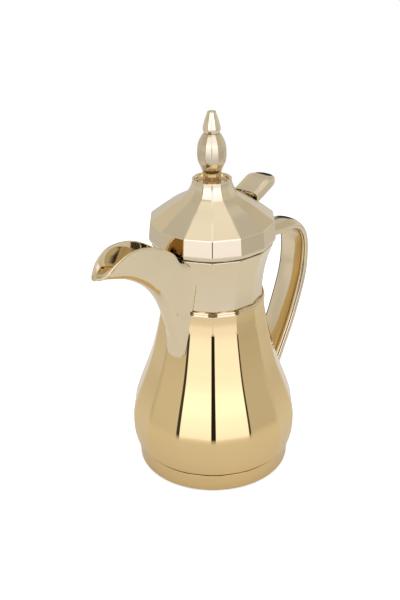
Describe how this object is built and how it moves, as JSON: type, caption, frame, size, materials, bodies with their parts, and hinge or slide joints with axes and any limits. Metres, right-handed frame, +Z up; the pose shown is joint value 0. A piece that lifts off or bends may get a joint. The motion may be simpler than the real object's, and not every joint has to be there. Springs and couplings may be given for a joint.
{
  "type": "vacuum coffee pot",
  "caption": "Faceted, waisted dallah coffee pot with open beak spout, strap handle, lift-off lid with a finial, and a thumb lever that opens the stopper valve",
  "frame": {"origin": "centre of the base, on the surface that the pot stands on", "axes": "+Z up; the spout points to -X and the handle to +X; Y is across"},
  "size_m": [0.244, 0.1322, 0.2884],
  "materials": {
    "plated_steel": "mirror-polished gold plating over pressed steel",
    "plated_shell": "mirror-bright pale gold plating over moulded plastic",
    "moulded_plastic": "smooth cream plastic",
    "silicone": "soft matt silicone",
    "rubber": "matt black rubber",
    "steel": "bright stainless steel",
    "silvered_glass": "silvered glass"
  },
  "bodies": {
    "flask": {"foot_ring": "rubber", "base_ring": "plated_shell", "bottom_cap": "moulded_plastic", "liner_cushion": "rubber", "body_shell": "plated_steel", "liner_outer": "silvered_glass", "liner_inner": "silvered_glass", "liner_spacers": "silicone", "mouth_gasket": "silicone", "neck_collar": "plated_shell", "spout": "plated_shell", "neck_trim": "plated_steel", "throat": "moulded_plastic", "throat_screws": "steel", "handle_shell": "plated_shell", "handle_cover": "plated_shell", "handle_screws": "steel"},
    "seal": {"stopper_seal": "silicone"},
    "lid": {"stopper_body": "moulded_plastic", "stem_guide": "moulded_plastic", "lid_base": "moulded_plastic", "lid_dome": "plated_shell", "lid_screws": "steel", "lever_bracket": "steel", "lever_pin": "steel", "finial_bud": "plated_shell", "finial_tip": "plated_shell", "finial_stud": "steel", "finial_nut": "steel"},
    "lever": {"thumb_lever": "plated_shell"},
    "valve": {"valve_plug": "moulded_plastic", "valve_washer": "silicone", "valve_stem": "steel", "stem_nut": "steel", "valve_spring": "steel"}
  },
  "joints": [
    {"name": "lid_lift", "type": "slide", "parent": "flask", "child": "seal", "axis": [0, 0, 1], "range_m": [0, 0.06]},
    {"name": "lid_turn", "type": "hinge", "parent": "seal", "child": "lid", "pos_m": [0, 0, 0.16], "axis": [0, 0, 1], "range_deg": [0, 90]},
    {"name": "lever_press", "type": "hinge", "parent": "lid", "child": "lever", "pos_m": [0.034, 0, 0.211], "axis": [0, 1, 0], "range_deg": [0, 10], "stiffness_Nm_per_rad": 0.6, "springref_deg": -6.88},
    {"name": "valve_lift", "type": "slide", "parent": "lid", "child": "valve", "axis": [0, 0, 1], "range_m": [0, 0.006], "deforming": ["valve_spring"]}
  ],
  "couplings": [
    {"joint": "valve_lift", "follows": "lever_press", "m_per_rad": 0.034}
  ]
}
